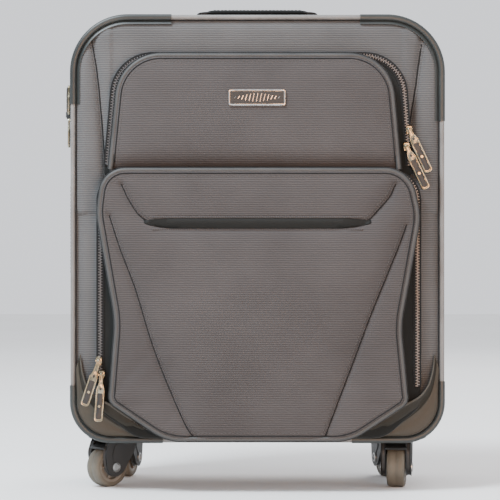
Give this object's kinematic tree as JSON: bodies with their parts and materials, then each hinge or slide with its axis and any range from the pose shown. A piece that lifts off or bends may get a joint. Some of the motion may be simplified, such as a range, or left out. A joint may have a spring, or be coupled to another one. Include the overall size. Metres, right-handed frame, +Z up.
{
  "type": "softside upright suitcase",
  "caption": "Upright softside cabin suitcase with zipped lid, two front pockets, telescopic trolley handle, side lock and swivelling casters.",
  "frame": {"origin": "on the floor under the middle of the case", "axes": "+Z up, -Y towards the pocketed front, +X towards the lid's hinged side"},
  "size_m": [0.422, 0.2037, 0.527],
  "materials": {
    "shell_fabric": "woven, fine horizontal rib",
    "pocket_fabric": "woven, fine horizontal rib",
    "gusset_fabric": "plain woven, matt",
    "lining_fabric": "smooth woven",
    "webbing": "ribbed webbing",
    "handle_webbing": "padded webbing",
    "zip_tape": "zip tape with moulded teeth",
    "piping": "satin vinyl over cord",
    "trim_fabric": "smooth satin",
    "trim_plastic": "satin moulded",
    "board_plastic": "hollow board",
    "fork_plastic": "satin moulded",
    "wheel_plastic": "satin moulded",
    "tyre_rubber": "satin polyurethane",
    "lock_plastic": "satin moulded",
    "dial_metal": "satin, numbered",
    "grip_plastic": "satin moulded",
    "button_plastic": "satin",
    "tube_aluminium": "satin anodised",
    "hoop_steel": "black painted spring steel",
    "pull_metal": "champagne plated",
    "badge_metal": "plated frame round dark enamel"
  },
  "bodies": {
    "root": {"body_shell": "shell_fabric", "back_panel": "shell_fabric", "back_board": "board_plastic", "frame_hoop": "hoop_steel", "base_tray": "board_plastic", "body_lining": "lining_fabric", "packing_straps": "webbing", "rear_piping": "piping", "main_zip_body_side": "zip_tape", "lining_back_panel": "lining_fabric", "side_feet": "trim_plastic", "caster_housings": "trim_plastic", "trolley_cup": "trim_plastic", "trolley_outer_tubes": "tube_aluminium", "handle_end_caps": "trim_plastic", "lock_housing": "lock_plastic"},
    "lid": {"lid_shell": "shell_fabric", "lid_lining": "lining_fabric", "front_piping": "piping", "front_corner_guards": "trim_plastic", "main_zip_lid_side": "zip_tape", "upper_pocket": "pocket_fabric", "lower_pocket": "pocket_fabric", "pocket_zips": "zip_tape", "pocket_piping": "piping", "badge": "badge_metal"},
    "trolley_middle": {"trolley_middle_tubes": "tube_aluminium"},
    "trolley_inner": {"trolley_inner_tubes": "tube_aluminium", "trolley_grip": "grip_plastic"},
    "trolley_release": {"trolley_button": "button_plastic"},
    "carry_top": {"top_handle": "handle_webbing"},
    "carry_side": {"side_handle": "handle_webbing"},
    "lock_button": {"lock_release": "button_plastic"},
    "dial_1": {"lock_dial_1": "dial_metal"},
    "dial_2": {"lock_dial_2": "dial_metal"},
    "dial_3": {"lock_dial_3": "dial_metal"},
    "upper_pocket_1_slider_body": {"upper_pocket_1_slider": "pull_metal"},
    "upper_pocket_1_pull_body": {"upper_pocket_1_pull": "pull_metal"},
    "upper_pocket_2_slider_body": {"upper_pocket_2_slider": "pull_metal"},
    "upper_pocket_2_pull_body": {"upper_pocket_2_pull": "pull_metal"},
    "lower_pocket_1_slider_body": {"lower_pocket_1_slider": "pull_metal"},
    "lower_pocket_1_pull_body": {"lower_pocket_1_pull": "pull_metal"},
    "lower_pocket_2_slider_body": {"lower_pocket_2_slider": "pull_metal"},
    "lower_pocket_2_pull_body": {"lower_pocket_2_pull": "pull_metal"},
    "main_1_slider_body": {"main_1_slider": "pull_metal"},
    "main_1_pull_body": {"main_1_pull": "pull_metal"},
    "main_2_slider_body": {"main_2_slider": "pull_metal"},
    "main_2_pull_body": {"main_2_pull": "pull_metal"},
    "swivel_front_left": {"caster_fork_front_left": "fork_plastic"},
    "spin_front_left": {"caster_wheel_front_left": "wheel_plastic", "caster_tyre_front_left": "tyre_rubber"},
    "swivel_front_right": {"caster_fork_front_right": "fork_plastic"},
    "spin_front_right": {"caster_wheel_front_right": "wheel_plastic", "caster_tyre_front_right": "tyre_rubber"},
    "swivel_rear_left": {"caster_fork_rear_left": "fork_plastic"},
    "spin_rear_left": {"caster_wheel_rear_left": "wheel_plastic", "caster_tyre_rear_left": "tyre_rubber"},
    "swivel_rear_right": {"caster_fork_rear_right": "fork_plastic"},
    "spin_rear_right": {"caster_wheel_rear_right": "wheel_plastic", "caster_tyre_rear_right": "tyre_rubber"}
  },
  "joints": [
    {"name": "lid_hinge", "type": "hinge", "parent": "root", "child": "lid", "pos_m": [0.202, -0.037, 0.283], "axis": [0, 0, 1], "range_deg": [0, 180]},
    {"name": "trolley_lower_stage", "type": "slide", "parent": "root", "child": "trolley_middle", "axis": [0, 0, 1], "range_m": [0, 0.25]},
    {"name": "trolley_upper_stage", "type": "slide", "parent": "trolley_middle", "child": "trolley_inner", "axis": [0, 0, 1], "range_m": [0, 0.25]},
    {"name": "trolley_button_press", "type": "slide", "parent": "trolley_inner", "child": "trolley_release", "axis": [0, 0, -1], "range_m": [0, 0.003], "stiffness_N_per_m": 600, "springref_m": -0.001},
    {"name": "top_handle_lift", "type": "slide", "parent": "root", "child": "carry_top", "axis": [0, 0, 1], "range_m": [0, 0.0155]},
    {"name": "side_handle_pull", "type": "slide", "parent": "root", "child": "carry_side", "axis": [-1, 0, 0], "range_m": [0, 0.0155], "stiffness_N_per_m": 40, "springref_m": -0.004},
    {"name": "lock_button_press", "type": "slide", "parent": "root", "child": "lock_button", "axis": [1, 0, 0], "range_m": [0, 0.0022], "stiffness_N_per_m": 400, "springref_m": -0.001},
    {"name": "dial_1_turn", "type": "hinge", "parent": "root", "child": "dial_1", "pos_m": [-0.204, -0.0185, 0.4184], "axis": [0, 0, 1], "continuous": true},
    {"name": "dial_2_turn", "type": "hinge", "parent": "root", "child": "dial_2", "pos_m": [-0.204, -0.0185, 0.4245], "axis": [0, 0, 1], "continuous": true},
    {"name": "dial_3_turn", "type": "hinge", "parent": "root", "child": "dial_3", "pos_m": [-0.204, -0.0185, 0.4306], "axis": [0, 0, 1], "continuous": true},
    {"name": "upper_pocket_1_travel", "type": "slide", "parent": "lid", "child": "upper_pocket_1_slider_body", "axis": [-0.0744, 0, 0.9972], "range_m": [0, 0.035]},
    {"name": "upper_pocket_1_pull_swing", "type": "hinge", "parent": "upper_pocket_1_slider_body", "child": "upper_pocket_1_pull_body", "pos_m": [0.1625, -0.08905, 0.3885], "axis": [-0.9063, 0, -0.4226], "range_deg": [0, 150]},
    {"name": "upper_pocket_2_travel", "type": "slide", "parent": "lid", "child": "upper_pocket_2_slider_body", "axis": [0, 0, -1], "range_m": [0, 0.012]},
    {"name": "upper_pocket_2_pull_swing", "type": "hinge", "parent": "upper_pocket_2_slider_body", "child": "upper_pocket_2_pull_body", "pos_m": [0.1597, -0.08905, 0.3705], "axis": [-0.9063, 0, -0.4226], "range_deg": [0, 150]},
    {"name": "lower_pocket_1_travel", "type": "slide", "parent": "lid", "child": "lower_pocket_1_slider_body", "axis": [0, 0, 1], "range_m": [0, 0.075]},
    {"name": "lower_pocket_1_pull_swing", "type": "hinge", "parent": "lower_pocket_1_slider_body", "child": "lower_pocket_1_pull_body", "pos_m": [-0.1696, -0.0931, 0.141], "axis": [-0.9511, 0, 0.309], "range_deg": [0, 150]},
    {"name": "lower_pocket_2_travel", "type": "slide", "parent": "lid", "child": "lower_pocket_2_slider_body", "axis": [0, 0, -1], "range_m": [0, 0.01]},
    {"name": "lower_pocket_2_pull_swing", "type": "hinge", "parent": "lower_pocket_2_slider_body", "child": "lower_pocket_2_pull_body", "pos_m": [-0.1666, -0.0931, 0.1265], "axis": [-0.9976, 0, 0.0698], "range_deg": [0, 150]},
    {"name": "main_1_travel", "type": "slide", "parent": "root", "child": "main_1_slider_body", "axis": [0, 0, 1], "range_m": [0, 0.012]},
    {"name": "main_1_pull_swing", "type": "hinge", "parent": "main_1_slider_body", "child": "main_1_pull_body", "pos_m": [-0.206, -0.037, 0.438], "axis": [0, 1, 0], "range_deg": [0, 150]},
    {"name": "main_2_travel", "type": "slide", "parent": "root", "child": "main_2_slider_body", "axis": [0, 0, -1], "range_m": [0, 0.29]},
    {"name": "main_2_pull_swing", "type": "hinge", "parent": "main_2_slider_body", "child": "main_2_pull_body", "pos_m": [-0.206, -0.037, 0.402], "axis": [0, 1, 0], "range_deg": [0, 150]},
    {"name": "caster_swivel_front_left", "type": "hinge", "parent": "root", "child": "swivel_front_left", "pos_m": [-0.155, -0.015, 0.048], "axis": [0, 0, 1], "continuous": true},
    {"name": "caster_roll_front_left", "type": "hinge", "parent": "swivel_front_left", "child": "spin_front_left", "pos_m": [-0.1654, -0.02437, 0.022], "axis": [0.6691, -0.7431, 0], "continuous": true},
    {"name": "caster_swivel_front_right", "type": "hinge", "parent": "root", "child": "swivel_front_right", "pos_m": [0.155, -0.015, 0.048], "axis": [0, 0, 1], "continuous": true},
    {"name": "caster_roll_front_right", "type": "hinge", "parent": "swivel_front_right", "child": "spin_front_right", "pos_m": [0.15305, -0.02886, 0.022], "axis": [0.9903, -0.1392, 0], "continuous": true},
    {"name": "caster_swivel_rear_left", "type": "hinge", "parent": "root", "child": "swivel_rear_left", "pos_m": [-0.155, 0.065, 0.048], "axis": [0, 0, 1], "continuous": true},
    {"name": "caster_roll_rear_left", "type": "hinge", "parent": "swivel_rear_left", "child": "spin_rear_left", "pos_m": [-0.15138, 0.07852, 0.022], "axis": [-0.9659, 0.2588, 0], "continuous": true},
    {"name": "caster_swivel_rear_right", "type": "hinge", "parent": "root", "child": "swivel_rear_right", "pos_m": [0.155, 0.065, 0.048], "axis": [0, 0, 1], "continuous": true},
    {"name": "caster_roll_rear_right", "type": "hinge", "parent": "swivel_rear_right", "child": "spin_rear_right", "pos_m": [0.15138, 0.07852, 0.022], "axis": [-0.9659, -0.2588, 0], "continuous": true}
  ]
}
